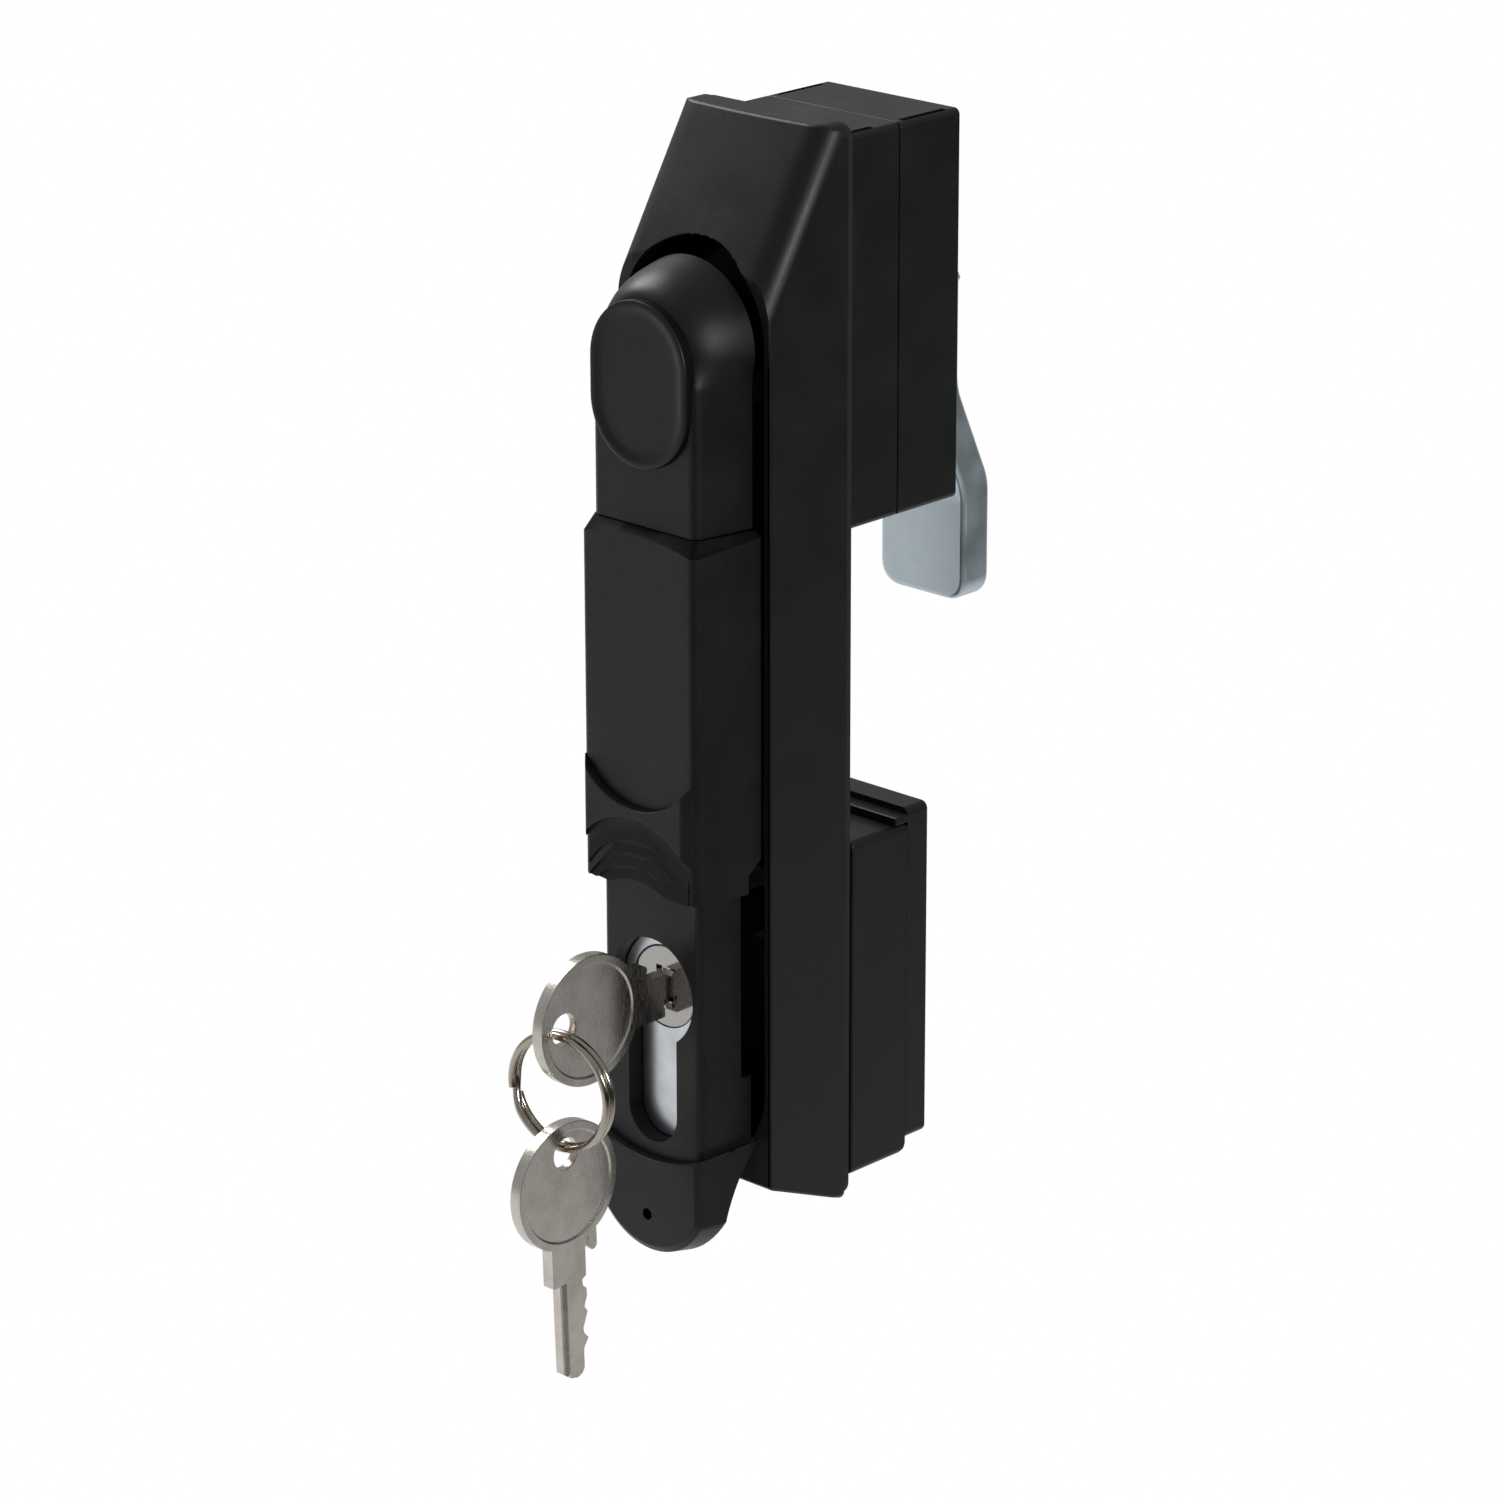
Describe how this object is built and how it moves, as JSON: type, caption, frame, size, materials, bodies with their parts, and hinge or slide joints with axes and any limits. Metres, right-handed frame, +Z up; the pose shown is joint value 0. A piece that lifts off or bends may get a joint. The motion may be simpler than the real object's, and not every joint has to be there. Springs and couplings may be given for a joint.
{
  "type": "swinghandle lock",
  "caption": "Black swinghandle lock for a cabinet door: long dish with a lift-out turning handle, sliding dust cover, profile lock with keys on a split ring, rear clamps and a cranked cam.",
  "frame": {"origin": "on the axis of the key plug, at the back of the dish, where the gasket begins", "axes": "+X to the right of a person who faces the lock, +Y into the cabinet, +Z up along the handle"},
  "size_m": [0.031, 0.0961, 0.1899],
  "materials": {
    "black_plastic": "fine grained satin black moulding",
    "gasket_rubber": "matt black sheet",
    "zinc_plated": "bluish zinc plating",
    "blackened_steel": "black zinc plating, dull",
    "plated_steel": "bright zinc plated steel",
    "satin_nickel": "satin light grey metal",
    "polished_nickel": "polished",
    "key_nickel": "nickel plated, lightly brushed",
    "ring_nickel": "polished nickel wire"
  },
  "bodies": {
    "housing": {"dish": "black_plastic", "dish_hood": "black_plastic", "gasket": "gasket_rubber", "keeper": "blackened_steel", "keeper_screw": "plated_steel", "clamp_frame": "black_plastic", "clamp_cap": "black_plastic", "clamp_screw_1": "plated_steel", "clamp_screw_2": "plated_steel", "base_housing": "black_plastic", "base_cover": "black_plastic", "base_screw_1": "plated_steel", "base_screw_2": "plated_steel"},
    "spindle": {"spindle": "blackened_steel", "cam": "zinc_plated", "cam_washer": "plated_steel", "cam_screw": "plated_steel"},
    "handle": {"handle": "black_plastic", "cross_pin": "plated_steel", "handle_cap": "black_plastic", "lock_body": "satin_nickel", "lock_clip": "plated_steel"},
    "cover": {"slide_cover": "black_plastic"},
    "plug": {"key_plug": "polished_nickel", "lock_cam": "zinc_plated", "key": "key_nickel"},
    "ring": {"split_ring": "ring_nickel"},
    "spare": {"spare_key": "key_nickel"}
  },
  "joints": [
    {"name": "turn", "type": "hinge", "parent": "housing", "child": "spindle", "pos_m": [0, 0, 0.1], "axis": [0, 1, 0], "range_deg": [0, 90]},
    {"name": "lift", "type": "hinge", "parent": "spindle", "child": "handle", "pos_m": [0, -0.015, 0.1], "axis": [-1, 0, 0], "range_deg": [0, 28]},
    {"name": "cover_slide", "type": "slide", "parent": "handle", "child": "cover", "axis": [0, 0, -1], "range_m": [0, 0.009]},
    {"name": "key_turn", "type": "hinge", "parent": "handle", "child": "plug", "pos_m": [0, -0.0234, 0], "axis": [0, 1, 0], "range_deg": [0, 90]},
    {"name": "ring_swing", "type": "hinge", "parent": "plug", "child": "ring", "pos_m": [0, -0.0458, -0.00139], "axis": [-1, 0, 0], "range_deg": [-8, 60]},
    {"name": "spare_swing", "type": "hinge", "parent": "ring", "child": "spare", "pos_m": [0, -0.0458, -0.01935], "axis": [-1, 0, 0], "range_deg": [-8, 60]}
  ]
}
